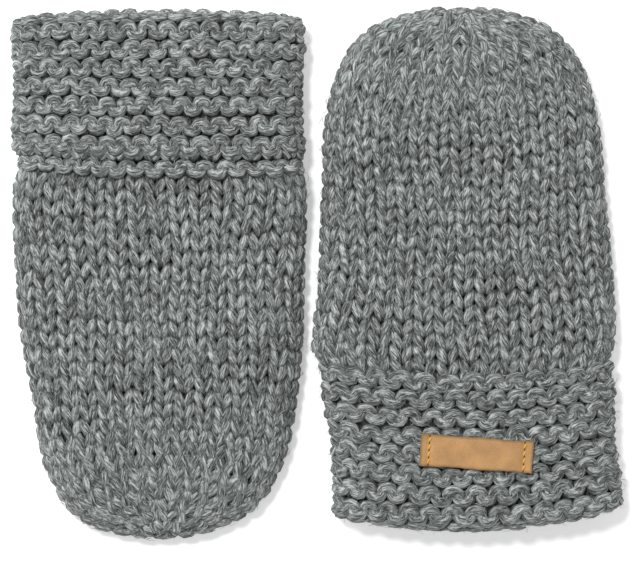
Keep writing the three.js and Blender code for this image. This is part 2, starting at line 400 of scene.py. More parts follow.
def body_cloth(mitten):
    """The body's outer surface. Its rows run from just inside the cuff to the tip, where they
    close in almost on one point, and its first column is the middle of the upper side."""
    rows = [Section(*(value * MM for value in row)) for row in mitten.body]
    tip = np.array(mitten.tip) * MM
    left = smooth_path([(r.left, r.along - r.tilt / 2) for r in rows] + [tip])
    right = smooth_path([(r.right, r.along + r.tilt / 2) for r in rows] + [tip])
    edge = np.vstack([spaced(side, np.linspace(0, 1, SIDE_POINTS)) for side in (left, right)])
    first = rows[0]
    middle = np.array([(first.left + first.right) / 2, first.along - first.bow])
    middle_length = tip[1] - middle[1]
    seam = first.along
    phi = np.linspace(0, TURN, RING_POINTS, endpoint=False)
    across = np.sin(phi)[:, None]
    upper = np.cos(phi) >= 0
    grid = []
    steps = np.linspace(BODY_START, BODY_END, CLOTH_ROWS)
    for v in steps:
        ends = []
        for side in (left, right):
            length = np.linalg.norm(np.diff(side, axis=0), axis=1).sum()
            even = EVEN_ROWS * middle_length / length
            share = even * v + (1 - even) * max(v, 0) ** 3
            place = spaced(side, [max(share, 0)])[0]
            ends.append(place + np.array([0, min(share, 0) * length]))
        drop = EVEN_ROWS * v - (EVEN_ROWS - 1) * max(v, 0) ** 3
        centre = np.array([middle[0] + (tip[0] - middle[0]) * v, middle[1] + middle_length * drop])
        plan = centre * (1 - across**2)
        plan = plan + ends[0] * (across**2 - across) / 2 + ends[1] * (across**2 + across) / 2
        inside = np.linalg.norm(plan[:, None] - edge[None], axis=2).min(axis=1)
        to_sides = np.minimum(plan[:, 0] - ends[0][0], ends[1][0] - plan[:, 0])
        inside = np.where(plan[:, 1] < seam, to_sides, inside)
        inside = np.where(np.abs(across[:, 0]) > 0.99999, 0, np.maximum(inside, 0))
        sunk = smoothstep((plan[:, 1] - seam) / SINKING_LENGTH)
        rise = rounded(inside, BODY_HALF_HEIGHT)
        swell = LIFT * sunk * np.sin(np.pi / 2 * np.clip(inside / CROWN_REACH, 0, 1))
        level = BODY_HALF_HEIGHT + LIFT * (1 - sunk)
        z = np.where(upper, level + rise + swell, level - rise)
        grid.append(evenly_around(np.column_stack([plan, z]), CLOTH_TURN))
    cloth = Cloth(placed(mitten, np.array(grid)), LAST_HEADS)
    cloth.points += STANDING_OUT * smoothstep(1 + cloth.out[:, :, 2:] / FACING_DOWN) * cloth.out
    middles = cloth.points.mean(axis=1, keepdims=True)
    hearts = middles - FAN_INSIDE * unit(middles[-1] - middles[0])
    near_tip = smoothstep((steps - FAN_START) / FAN_LENGTH)[:, None, None]
    cloth.out = unit((1 - near_tip) * cloth.out + near_tip * unit(cloth.points - hearts))
    return cloth


def cuff_rings(mitten, froms, depths):
    """Rings around the cuff at distances from its mouth and depths in its cloth."""
    table = smooth_path([[value * MM for value in row] for row in mitten.cuff], CUFF_TABLE)
    phi = np.linspace(0, TURN, RING_POINTS, endpoint=False)
    across = np.sin(phi)
    upper = np.cos(phi) >= 0
    grid = []
    for start, depth in zip(froms, depths):
        share = np.clip(start / CUFF_LENGTH, 0, 1) * (len(table) - 1)
        along, left, right, bow, tilt = (np.interp(share, np.arange(len(table)), c) for c in table.T)
        half_width = (right - left) / 2 - depth
        radius = CUFF_HALF_HEIGHT - depth
        inside = half_width * (1 - np.abs(across))
        rise = rounded(inside, radius)
        swell = CUFF_CROWN * np.sin(np.pi / 2 * np.clip(inside / CROWN_REACH, 0, 1))
        x = (left + right) / 2 + across * half_width
        beyond = max(start - CUFF_LENGTH, 0)
        y = along + beyond - bow * (1 - across**2) + tilt * across / 2
        z = np.where(upper, CUFF_HALF_HEIGHT + rise + swell, CUFF_HALF_HEIGHT - rise)
        grid.append(evenly_around(np.column_stack([x, y, z]), CLOTH_TURN))
    return placed(mitten, np.array(grid))


def cuff_cloth(mitten):
    """The cuff's surface, from the seam inside over the fold at the mouth to its free edge."""
    run = np.linspace(CUFF_PATH, 0, CLOTH_ROWS * 2)
    turn = np.clip((run - (FREE_EDGE - FOLD)) / FOLD, 0, math.pi)
    outside = np.minimum(run, FREE_EDGE - FOLD)
    inside = np.maximum(run - (FREE_EDGE - FOLD) - FOLD_LENGTH, 0)
    froms = FREE_EDGE - outside - (FOLD - FOLD_TUCK) * np.sin(turn) + inside
    depths = FOLD * (1 - np.cos(turn))
    return Cloth(cuff_rings(mitten, froms, depths), uneven=CUFF_UNEVEN)


def last_ridge_cloth(mitten):
    """The strip of cuff that shows past the free edge, in a low arch from under the edge to
    under the body's first row."""
    share = np.linspace(0, 1, STRIP_ROWS)
    depths = STRIP_DEPTH - STRIP_ARCH * np.sin(np.pi * share) - STRIP_RISE * share**2
    points = cuff_rings(mitten, FREE_EDGE - STRIP_HIDDEN + STRIP * share, depths)
    return Cloth(points, span=STRIP / CUFF_PATH, uneven=CUFF_UNEVEN)


def row_places(cloth, shares, count, narrowest):
    """Where each row's stitches lie around the cloth. Where a row is too short for them, at most
    one in three is joined to the next, evenly around, and the rest then spread out."""
    places = np.arange(count) / count
    rows = []
    for number, share in enumerate(shares):
        fit = max(FEWEST_STITCHES, int(cloth.length_around(share) / narrowest))
        excess = min(len(places) - fit, len(places) // 3)
        if excess > 0:
            start = JOIN_STEP * number % 1
            joined = np.unique(((start + np.arange(excess) / excess) % 1 * (len(places) - 1)).astype(int))
            joined = joined[np.diff(joined, prepend=-2) > 1]
            places[joined] = (places[joined] + places[joined + 1]) / 2
            places = np.delete(places, joined + 1)
        even = np.arange(len(places)) / len(places)
        even = even + (places - even).mean()
        places = places + JOIN_SPREAD * (even - places)
        rows.append(places.copy())
    return rows


def wander(turn, share):
    """How far stitches stray from their even places, smoothly over the cloth."""
    return (
        np.sin(TURN * (turn + 1.3 * share))
        + 0.8 * np.sin(TURN * (2 * turn - 2.1 * share) + 1.7)
        + 0.5 * np.sin(TURN * (4 * turn + 3.4 * share) + 0.4)
    )


def knit_row(knit, cloth, share, row_share, places, loop, steps, rng):
    """One course of yarn. The loop gives, for an angle from one foot over the head to the next
    foot, how far the yarn leans, how high it stands in its row, its depth, thickness and tone; a
    smooth loop's tone is painted light."""
    count = len(places)
    centres = np.concatenate([places[-2:] - 1, places, places[:2] + 1])
    turns = np.empty(2 * len(centres) - 1)
    turns[0::2] = centres
    turns[1::2] = (centres[:-1] + centres[1:]) / 2
    # A stitch's middle lies half a stitch on, and two stitches stand before the first
    knots = np.arange(len(turns)) / 2 - 1.5
    run = np.arange(count * steps) / steps
    lean, height, depth, thickness, tone = loop(TURN * (run % 1))
    wobbles = rng.normal(0, 1, (4, count * 2))
    halves = np.arange(count * 2 + 1) / 2
    dx, dy, dz, dr = (np.interp(run, halves, np.append(w, w[0])) for w in wobbles)
    room = np.interp(run, knots, np.gradient(turns, knots)) * cloth.length_around(share)
    thickness = thickness * np.clip(room / EVEN_WIDTH, LEAST_ROOM, MOST_ROOM) ** ROOM_POWER
    turn = np.interp(run + lean + UNEVEN_ACROSS * cloth.uneven * dx, knots, turns)
    onward = share * cloth.span
    turn = turn + WANDER * wander(turn, onward) / count
    height = height + knit.uneven_along * cloth.uneven * dy + STRAY * wander(3 * onward + 0.2, turn)
    at = np.minimum(share + row_share * height, cloth.last)
    depth = (depth + UNEVEN_DEPTH * dz) * cloth.room_for(at, FULL_DEPTH)
    points, out = cloth.at(at, turn, depth)
    lost = 1 - cloth.length_around(share) / cloth.around.max()
    closing = smoothstep((lost - CLOSING_START) / CLOSING_LENGTH)
    thickness = thickness * (1 + UNEVEN_YARN * cloth.uneven * dr) * (1 + CLOSING_YARN * closing)
    points[:, 2] = np.maximum(points[:, 2], thickness)
    shade = np.repeat(rng.normal(0, 1, count * 2), steps // 2)
    # The depth that the painted hollow shade is taken at, less deep where the tip closes
    shade_depth = depth * (1 - CLOSING_FILL * closing)
    return Course(points, out, thickness, shade_depth, tone + UNEVEN_TONE * shade)


def gathering(knit, cloth):
    """Rounds of yarn that draw the last row together and close the tip."""
    turns = np.arange(0, 1, 1 / ROUND_STEPS)
    wave = ROUND_WAVE * np.sin(TURN * ROUND_WAVES * turns)
    middles = cloth.points.mean(axis=1)
    end, ahead = middles[-1], unit(middles[-1] - middles[0])
    courses = []
    for share, depth, drawn in TIP_ROUNDS:
        depths = np.full(len(turns), depth) * cloth.room_for(share + wave, FULL_DEPTH)
        points, out = cloth.at(share + wave, turns, depths)
        points = end + drawn * (points - end) + ((1 - drawn) * TIP_SWELL - TIP_SUNK) * ahead
        radius = np.full(len(turns), ROUND_YARN * knit.yarn)
        courses.append(Course(points, out, radius, depths * 0 + ROUND_SHADE, 0 * turns))
    return courses


def face_loop(knit, points_to_mouth):
    """A loop of smooth knit: its legs lie in front, as a V, and its head and feet behind."""
    way = 1 if points_to_mouth else -1
    radius = knit.yarn / 2
    middle = radius + knit.face_relief

    def loop(angle):
        leg = -np.cos(2 * angle)
        lean = knit.face_lean * np.sin(2 * angle)
        height = -way * knit.face_reach * np.cos(angle)
        thickness = radius * (1 + knit.leaf * leg)
        # The tone is painted light: one leg of each V is painted lighter and the other darker, as the
        # light falls on them
        return lean, height, middle - knit.face_relief * leg, thickness, way * np.sin(angle)

    return loop


def ridge_loop(knit, front_head, raised):
    """A loop of ridged knit. Either its head lies in front and its feet behind, or the other
    way round, and two such rows make a ridge of the loops that lie in front."""
    way = 1 if front_head else -1
    radius = knit.ridge_yarn / 2
    middle = radius + knit.ridge_relief - raised

    def loop(angle):
        rise = -np.cos(angle)
        rise = np.sign(rise) * np.abs(rise) ** FLATNESS
        front = way * rise
        lean = knit.ridge_lean * np.sin(2 * angle)
        thickness = radius * (1 + knit.bean * front)
        return lean, knit.ridge_reach * rise, middle - knit.ridge_relief * front, thickness, 0 * angle

    return loop


def new_object(name, vertices, quads, triangles=()):
    """A mesh object in the scene, from arrays of places and of corners."""
    mesh = bpy.data.meshes.new(name)
    quads = np.asarray(quads, np.int32).reshape(-1, 4)
    triangles = np.asarray(triangles, np.int32).reshape(-1, 3)
    sizes = np.concatenate([np.full(len(quads), 4), np.full(len(triangles), 3)]).astype(np.int32)
    mesh.vertices.add(len(vertices))
    mesh.vertices.foreach_set("co", np.asarray(vertices, np.float32).ravel())
    mesh.loops.add(int(sizes.sum()))
    mesh.loops.foreach_set("vertex_index", np.concatenate([quads.ravel(), triangles.ravel()]))
    mesh.polygons.add(len(sizes))
    mesh.polygons.foreach_set("loop_start", (np.cumsum(sizes) - sizes).astype(np.int32))
    mesh.polygons.foreach_set("use_smooth", np.ones(len(sizes), bool))
    mesh.update(calc_edges=True)
    mesh.validate()
    made = bpy.data.objects.new(name, mesh)
    bpy.context.scene.collection.objects.link(made)
    return made


def add_values(mesh, name, kind, values):
    """A value for each vertex, that a material reads by name."""
    field = "vector" if kind == "FLOAT_VECTOR" else "value"
    attribute = mesh.attributes.new(name, kind, "POINT")
    attribute.data.foreach_set(field, np.asarray(values, np.float32).ravel())


def carried(along, out):
    """Sideways directions for a closed path, carried along it with as little turning as can be."""
    beside = np.empty_like(along)
    side = np.cross(along[0], out)
    for i, way in enumerate(np.vstack([along, along[:1]])):
        side = side - way * (way @ side)
        side = side / math.sqrt(side @ side)
        if i < len(along):
            beside[i] = side
    over = np.cross(beside, along)
    left = math.atan2(side @ over[0], side @ beside[0])
    turned = -left * np.arange(len(along))[:, None] / len(along)
    return np.cos(turned) * beside + np.sin(turned) * over


def yarn_object(name, courses):
    """Closed tubes of yarn along the courses, joined in one mesh. Each vertex holds its place
    on the yarn, turned with the yarn's twist, its tone, which can hold painted light, and how
    deep it has sunk in the cloth, which sets its painted shade."""
    alpha = TURN * np.arange(YARN_SIDES) / YARN_SIDES
    side = np.arange(YARN_SIDES)
    next_side = (side + 1) % YARN_SIDES
    vertices, quads, places, tones_and_light, sunk, uvs = [], [], [], [], [], []
    first = 0
    for number, course in enumerate(courses):
        points, count = course.points, len(course.points)
        along = unit(np.roll(points, -1, 0) - np.roll(points, 1, 0))
        beside = carried(along, course.out[0])
        over = np.cross(beside, along)
        ring = np.cos(alpha)[None, :, None] * beside[:, None]
        ring = ring + np.sin(alpha)[None, :, None] * over[:, None]
        vertices.append((points[:, None] + course.radius[:, None, None] * ring).reshape(-1, 3))
        steps = np.linalg.norm(np.roll(points, -1, 0) - points, axis=1)
        run = np.concatenate([[0], np.cumsum(steps)[:-1]]) / steps.sum()
        run = np.abs((run + 0.25) % 1 - 0.5) * steps.sum()
        twisted = alpha[None, :] + TURN * run[:, None] / TWIST_LENGTH
        reach = course.radius[:, None] / MM
        length = np.repeat((run / MM + COURSES_APART * number)[:, None], YARN_SIDES, 1)
        place = np.stack([reach * np.cos(twisted), reach * np.sin(twisted), length], axis=2)
        places.append(place.reshape(-1, 3))
        tones_and_light.append(np.repeat(course.tone, YARN_SIDES))
        rise = (ring * course.out[:, None]).sum(axis=2)
        sunk.append((course.depth[:, None] - course.radius[:, None] * rise).ravel() / MM)
        i = np.arange(count)[:, None]
        j = (i + 1) % count
        corners = [i * YARN_SIDES + side, j * YARN_SIDES + side]
        corners += [j * YARN_SIDES + next_side, i * YARN_SIDES + next_side]
        quads.append(first + np.stack(corners, axis=2).reshape(-1, 4))
        u = np.stack([i + k + 0 * side for k in (0, 1, 1, 0)], axis=2) / count
        v = np.stack([0 * i + side + k for k in (0, 0, 1, 1)], axis=2) / YARN_SIDES
        v = (number + 0.04 + 0.92 * v) / len(courses)
        uvs.append(np.stack([u, v], axis=3).reshape(-1, 2))
        first += count * YARN_SIDES
    made = new_object(name, np.vstack(vertices), np.vstack(quads))
    add_values(made.data, "yarn_place", "FLOAT_VECTOR", np.vstack(places))
    add_values(made.data, "tone", "FLOAT", np.concatenate(tones_and_light))
    add_values(made.data, "sunk", "FLOAT", np.concatenate(sunk))
    layer = made.data.uv_layers.new(name="OFBake")
    layer.uv.foreach_set("vector", np.vstack(uvs).astype(np.float32).ravel())
    return made


def fuzz_object(name, courses, count, rng):
    """Loose fibres that lie on the yarn or stand off it a little: thin bent spindles."""
    points = np.vstack([course.points for course in courses])
    out = np.vstack([course.out for course in courses])
    radius = np.concatenate([course.radius for course in courses])
    depth = np.concatenate([course.depth for course in courses])
    along = np.vstack([unit(np.roll(c.points, -1, 0) - np.roll(c.points, 1, 0)) for c in courses])
    front = np.flatnonzero(depth < FUZZ_DEPTH)
    root = rng.choice(front, count)
    beside = unit(np.cross(along[root], out[root]))
    over = np.cross(beside, along[root])
    angle = rng.uniform(0.1, 0.9, count)[:, None] * math.pi
    up = np.cos(angle) * beside + np.sin(angle) * over
    start = points[root] + 0.93 * radius[root, None] * up
    heading = rng.normal(0, 0.45, count)[:, None]
    flat = unit(along[root] + heading * np.cross(up, along[root])) * rng.choice([-1, 1], count)[:, None]
    length = FIBRE_LENGTH * rng.uniform(0.5, 1.5, count)[:, None]
    lift = rng.uniform(0.02, 0.22, count)[:, None] * length
    curl = rng.normal(0, 0.16, count)[:, None] * length * np.cross(up, flat)
    spine = [start]
    for share, height, bend in ((0.35, 0.8, 0.6), (0.7, 1.0, 0.9), (1.0, 0.7, 0.0)):
        spine.append(start + share * length * flat + height * lift * up + bend * curl)
    thick = FIBRE / 2 * rng.uniform(0.7, 1.3, count)[:, None]
    third = np.cross(up, flat)
    rings = [spine[0][:, None]]
    around = [thick * (math.cos(angle) * up + math.sin(angle) * third) for angle in THIRDS]
    for middle in spine[1:3]:
        rings.append(np.stack([middle + corner for corner in around], axis=1))
    rings.append(spine[3][:, None])
    vertices = np.concatenate(rings, axis=1).reshape(-1, 3)
    vertices[:, 2] = np.maximum(vertices[:, 2], 0)
    first = 8 * np.arange(count)[:, None, None]
    triangles = [(0, 1 + b, 1 + a) for a, b in RING] + [(7, 4 + a, 4 + b) for a, b in RING]
    quads = [(1 + a, 1 + b, 4 + b, 4 + a) for a, b in RING]
    made = new_object(
        name,
        vertices,
        (first + np.array(quads)[None]).reshape(-1, 4),
        (first + np.array(triangles)[None]).reshape(-1, 3),
    )
    place = np.column_stack([rng.uniform(-1, 1, (count, 2)), rng.uniform(0, 600, count)])
    add_values(made.data, "yarn_place", "FLOAT_VECTOR", np.repeat(place, 8, axis=0))
    # A painted highlight: the fibres' tone makes them lighter than the yarn
    add_values(made.data, "tone", "FLOAT", np.repeat(rng.normal(FIBRE_HIGHLIGHT_TONE, 3, count), 8))
    add_values(made.data, "sunk", "FLOAT", np.repeat(0 * depth[root], 8))
    return made


def skin(rings, looped):
    """Corners of a closed skin over rings of the same size. Its last ring is joined to its
    first, or both are filled in."""
    count, size = len(rings), len(rings[0])
    i = np.arange(count if looped else count - 1)[:, None]
    j = (i + 1) % count
    a = np.arange(size)
    b = (a + 1) % size
    quads = np.stack([i * size + a, i * size + b, j * size + b, j * size + a], axis=2).reshape(-1, 4)
    if looped:
        return np.vstack(rings), quads, []
    last = (count - 1) * size
    hubs = np.array([rings[0].mean(axis=0), rings[-1].mean(axis=0)])
    start = np.column_stack([b, a, np.full(size, count * size)])
    finish = np.column_stack([last + a, last + b, np.full(size, count * size + 1)])
    return np.vstack(rings + [hubs]), quads, np.vstack([start, finish])


def thin_cloth(name, cloth, shares, depth, thickness, looped):
    """A thin closed shell of cloth, sunk under the yarn."""
    turns = np.arange(0, 1, 1 / SHELL_TURN)
    outer, inner = [], []
    for share in shares:
        at = np.full(len(turns), share)
        fits = cloth.room_for(at, FULL_DEPTH)
        outer.append(cloth.at(at, turns, depth * fits)[0])
        inner.append(cloth.at(at, turns, (depth + thickness) * fits)[0])
    vertices, quads, triangles = skin(inner[::-1] + outer, looped)
    return new_object(name, vertices, quads, triangles)


# Materials


def nodes_of(material):
    """A material's nodes, links and surface shader."""
    material.use_nodes = True
    tree = material.node_tree
    return tree.nodes, tree.links, tree.nodes["Principled BSDF"]


def add_node(nodes, kind, values=None, **settings):
    """A node of one kind, with its settings and the values of its inputs."""
    node = nodes.new(f"ShaderNode{kind}")
    for name, value in settings.items():
        setattr(node, name, value)
    set_values(node, values or {})
    return node


def set_values(node, values):
    for name, value in values.items():
        node.inputs[name].default_value = value


def read(nodes, name):
    """A node that reads a piece's values by name."""
    return add_node(nodes, "Attribute", attribute_name=name)


def join(links, *rows):
    """Link a node's output to another node's input, for each row."""
    for source, output, target, entry in rows:
        links.new(source.outputs[output], target.inputs[entry])


def colour_ramp(nodes, *stops):
    """A ramp through colours as seen, at their places, the two outer ones first."""
    ramp = add_node(nodes, "ValToRGB")
    elements = ramp.color_ramp.elements
    for number, (position, colour) in enumerate(stops):
        stop = elements[number] if number < 2 else elements.new(position)
        stop.position = position
        stop.color = linear(colour[:])
    return ramp


def linear(colour):
    """A colour as it is seen, from 0 to 255, as Blender counts it."""
    shares = np.array(colour, float) / 255
    return tuple(np.where(shares <= 0.04045, shares / 12.92, ((shares + 0.055) / 1.055) ** 2.4)) + (1.0,)


def fibre_group():
    """Streaks of fibres along a yarn, as a mask and a surface."""
    group = bpy.data.node_groups.new("Fibres", "ShaderNodeTree")
    face = group.interface
    face.new_socket("Place", in_out="INPUT", socket_type="NodeSocketVector")
    face.new_socket("Fineness", in_out="INPUT", socket_type="NodeSocketFloat").default_value = 1.0
    face.new_socket("Relief", in_out="INPUT", socket_type="NodeSocketFloat").default_value = 0.5
    face.new_socket("Streaks", in_out="OUTPUT", socket_type="NodeSocketFloat")
    face.new_socket("Normal", in_out="OUTPUT", socket_type="NodeSocketVector")
    nodes, links = group.nodes, group.links
    source = nodes.new("NodeGroupInput")
    sink = nodes.new("NodeGroupOutput")
    noises = []
    for stretching, detail in (((3.1, 3.1, 0.75), 3.0), ((0.8, 0.8, 0.25), 1.0)):
        stretch = add_node(nodes, "VectorMath", {1: stretching}, operation="MULTIPLY")
        noise = add_node(nodes, "TexNoise", {"Detail": detail, "Roughness": 0.6, "Distortion": 0.6})
        join(
            links,
            (source, "Place", stretch, 0),
            (stretch, 0, noise, "Vector"),
            (source, "Fineness", noise, "Scale"),
        )
        noises.append(noise)
    blend = add_node(nodes, "Mix", {"Factor": 0.3})
    bump = add_node(nodes, "Bump", {"Distance": 0.2 * MM})
    join(
        links,
        (noises[0], 0, blend, "A"),
        (noises[1], 0, blend, "B"),
        (blend, "Result", sink, "Streaks"),
        (noises[0], 0, bump, "Height"),
        (source, "Relief", bump, "Strength"),
        (bump, 0, sink, "Normal"),
    )
    return group


def wool_material(knit):
    """Heather grey wool: fibres of light and dark grey along the yarn, with painted shade that
    darkens it in its hollows, the deeper the darker.
    """
    material = bpy.data.materials.new("heather_wool")
    nodes, links, shader = nodes_of(material)
    fibres = add_node(nodes, "Group", node_tree=fibre_group())
    fibres.inputs["Relief"].default_value = 0.5
    ramp = colour_ramp(nodes, (0.39, knit.dark_fibre), (0.62, knit.light_fibre), (0.5, knit.wool))
    scale = add_node(nodes, "Math", {1: 0.05, 2: 1.0}, operation="MULTIPLY_ADD")
    # Painted shade: the deeper the yarn has sunk in the cloth, the darker its colour
    depths = {"From Min": knit.painted_shade_from / MM, "From Max": knit.painted_shade_to / MM}
    shades = {"To Min": 1.0, "To Max": knit.painted_hollow_shade}
    painted_shade_node = add_node(nodes, "MapRange", {**depths, **shades}, interpolation_type="SMOOTHSTEP")
    both = add_node(nodes, "Math", operation="MULTIPLY")
    mix = add_node(nodes, "VectorMath", operation="SCALE")
    join(
        links,
        (read(nodes, "sunk"), "Fac", painted_shade_node, "Value"),
        (painted_shade_node, "Result", both, 0),
        (read(nodes, "tone"), "Fac", scale, 0),
        (scale, 0, both, 1),
        (read(nodes, "yarn_place"), "Vector", fibres, "Place"),
        (fibres, "Streaks", ramp, "Fac"),
        (ramp, "Color", mix, 0),
        (both, 0, mix, "Scale"),
        (mix, 0, shader, "Base Color"),
        (fibres, "Normal", shader, "Normal"),
    )
    set_values(shader, {"Roughness": 0.9, "Specular IOR Level": 0.2})
    set_values(shader, {"Sheen Weight": 0.1, "Sheen Roughness": 0.6})
    return material


def leather_material(label):
    """Tan leather: a fine grain, cloudy tan, darker toward its cut edges."""
    material = bpy.data.materials.new("tan_leather")
    nodes, links, shader = nodes_of(material)
    clouds = add_node(nodes, "TexNoise", {"Scale": 0.2, "Detail": 4.0})
    grain = add_node(nodes, "TexNoise", {"Scale": 3.2, "Detail": 3.0})
    dark, light = ([min(255, shade * c) for c in label.leather] for shade in (0.9, 1.07))
    tan = colour_ramp(nodes, (0.38, dark), (0.64, light))
    both = add_node(nodes, "Mix", {"Factor": 0.4})
    edge = add_node(nodes, "MapRange", {"From Max": 0.9, "To Min": 0.55}, interpolation_type="SMOOTHSTEP")
    shade = add_node(nodes, "VectorMath", operation="SCALE")
    bump = add_node(nodes, "Bump", {"Distance": 0.05 * MM, "Strength": 0.6})
    place = read(nodes, "label_place")
    join(
        links,
        (place, "Vector", clouds, "Vector"),
        (place, "Vector", grain, "Vector"),
        (clouds, 0, both, "A"),
        (grain, 0, both, "B"),
        (both, "Result", tan, "Fac"),
        (read(nodes, "inset"), "Fac", edge, "Value"),
        (tan, "Color", shade, 0),
        (edge, "Result", shade, "Scale"),
        (shade, 0, shader, "Base Color"),
        (grain, 0, bump, "Height"),
        (bump, 0, shader, "Normal"),
    )
    set_values(shader, {"Roughness": 0.72, "Specular IOR Level": 0.3})
    return material


def plain_material(name, colour, roughness=0.9):
    material = bpy.data.materials.new(name)
    set_values(nodes_of(material)[2], {"Base Color": linear(colour), "Roughness": roughness})
    return material


def knit_materials(knit):
    """The wool, painted darker in its hollows as shade, and the dark cloth behind it, whose dark
    grey is painted shade between the loops, each made once.
    """
    wool = bpy.data.materials.get("heather_wool") or wool_material(knit)
    shade_backing = bpy.data.materials.get("backing_painted_shade") or plain_material("backing_painted_shade", SHADE_BACKING_COLOUR)
    return wool, shade_backing


def give(made, material):
    made.data.materials.append(material)
    return made


# Settings


class KnitSettings(bpy.types.PropertyGroup):
    """Sizes and colours of the knit."""

    yarn: FloatProperty(
        name="Yarn thickness", description="Thickness of the yarn", default=2.35 * MM, unit="LENGTH"
    )
    ridge_yarn: FloatProperty(
        name="Ridge yarn", description="Thickness of the yarn in ridges", default=2.47 * MM, unit="LENGTH"
    )
    fuzz: IntProperty(name="Loose fibres", description="Loose fibres on a body", default=4600)
    body_around: IntProperty(name="Body stitches", description="Stitches around a body", default=31)
    narrowest: FloatProperty(
        name="Narrowest stitch", description="Least width of a stitch", default=4.7 * MM, unit="LENGTH"
    )
    face_lean: FloatProperty(name="Leg slant", description="Slant of the V of a stitch", default=0.225)
    face_reach: FloatProperty(name="Loop height", description="Half a loop's height in rows", default=0.84)
    face_relief: FloatProperty(
        name="Loop relief", description="How far legs stand before heads", default=1.15 * MM, unit="LENGTH"
    )
    leaf: FloatProperty(name="Leg swelling", description="How much thicker legs are", default=0.22)
    ridge_lean: FloatProperty(name="Bump width", description="Widening of a ridge's bumps", default=0.14)
    uneven_along: FloatProperty(name="Unevenness", description="Unevenness along, in rows", default=0.05)
    bean: FloatProperty(name="Bump swelling", description="How much thicker bumps are", default=0.2)
    ridge_reach: FloatProperty(name="Bump height", description="Half a ridge loop's height", default=1.09)
    ridge_relief: FloatProperty(
        name="Ridge relief", description="How far ridges stand out", default=1.6 * MM, unit="LENGTH"
    )
    # Painted shade in the hollows: the depth where yarn starts to be painted darker, the depth where it is
    # darkest, and the share of its colour left there
    painted_shade_from: FloatProperty(
        name="Hollows start", description="Depth where yarn darkens", default=0.1 * MM, unit="LENGTH"
    )
    painted_shade_to: FloatProperty(
        name="Hollows end", description="Depth where yarn is darkest", default=1.75 * MM, unit="LENGTH"
    )
    painted_hollow_shade: FloatProperty(name="Hollow shade", description="Share of light in hollows", default=0.13)
    wool: FloatVectorProperty(name="Wool", description="Colour as seen", size=3, default=(114, 119, 117))
    light_fibre: FloatVectorProperty(
        name="Light fibres", description="Colour as seen", size=3, default=(192, 198, 195)
    )
    dark_fibre: FloatVectorProperty(
        name="Dark fibres", description="Colour as seen", size=3, default=(50, 54, 53)
    )


class LabelSettings(bpy.types.PropertyGroup):
    """Sizes and colours of the label."""

    length: FloatProperty(name="Length", description="Label length", default=29.8 * MM, unit="LENGTH")
    width: FloatProperty(name="Width", description="Label width", default=8.4 * MM, unit="LENGTH")
    turn: FloatProperty(
        name="Turn", description="Turn on the cuff", default=math.radians(-4.0), subtype="ANGLE"
    )
    sewn_in: FloatProperty(
        name="Sewing line", description="Distance from each end", default=2.3 * MM, unit="LENGTH"
    )
    stitch: FloatProperty(name="Stitch", description="Length of a stitch", default=1.9 * MM, unit="LENGTH")
    leather: FloatVectorProperty(
        name="Leather", description="Colour as seen", size=3, default=(186, 143, 95)
    )
    thread: FloatVectorProperty(
        name="Thread", description="Colour as seen", size=3, default=(222, 170, 40)
    )


class StageSettings(bpy.types.PropertyGroup):
    """The floor, the light and the camera."""

    key: FloatProperty(name="Key light", description="Power of the main light in watts", default=5.4)
    side: FloatProperty(name="Side light", description="Power of the left light in watts", default=1.3)
    fill: FloatProperty(name="Fill light", description="Strength of the light all around", default=0.5)
    glow: FloatProperty(name="Floor glow", description="Light that shines through the floor", default=0.32)
    width: FloatProperty(
        name="View width", description="Width of what the camera sees", default=170.7 * MM, unit="LENGTH"
    )


class MITTENS_OT_bodies(bpy.types.Operator):
    """Knit the two bodies in smooth rows, over their thin cloth"""

    bl_idname = "mittens.bodies"
    bl_label = "Knit the bodies"

    def execute(self, context):
        knit = context.scene.mitten_knit
        wool, shade_backing = knit_materials(knit)
        for side, mitten in MITTENS.items():
            rng = np.random.default_rng(mitten.seed)
            cloth = body_cloth(mitten)
            shares = (np.arange(-1, mitten.rows - 1) + 0.5) / mitten.rows
            shares = (shares - BODY_START) / (BODY_END - BODY_START)
            row_share = 1 / mitten.rows / (BODY_END - BODY_START)
            loop = face_loop(knit, mitten.points_to_mouth)
            rows = row_places(cloth, shares, knit.body_around, knit.narrowest)
            courses = [
                knit_row(knit, cloth, share, row_share, places, loop, BODY_STEPS, rng)
                for share, places in zip(shares, rows)
            ]
            closed = courses + gathering(knit, cloth)
            yarn = give(yarn_object(f"{side}_body_knit", closed), wool)
            fuzz = give(fuzz_object(f"{side}_body_fuzz", courses, knit.fuzz, rng), wool)
            shell_shares = np.linspace(0, BODY_SHELL_END, BODY_SHELL_ROWS)
            shell = thin_cloth(f"{side}_body_cloth", cloth, shell_shares, *BODY_SHELL, False)
            # The thin cloth's dark grey is painted shade, seen in the gaps between the loops
            give(shell, shade_backing)
            for made in (yarn, fuzz, shell):
                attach(made, "root")
                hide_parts(f"{side}_body")
        return {"FINISHED"}


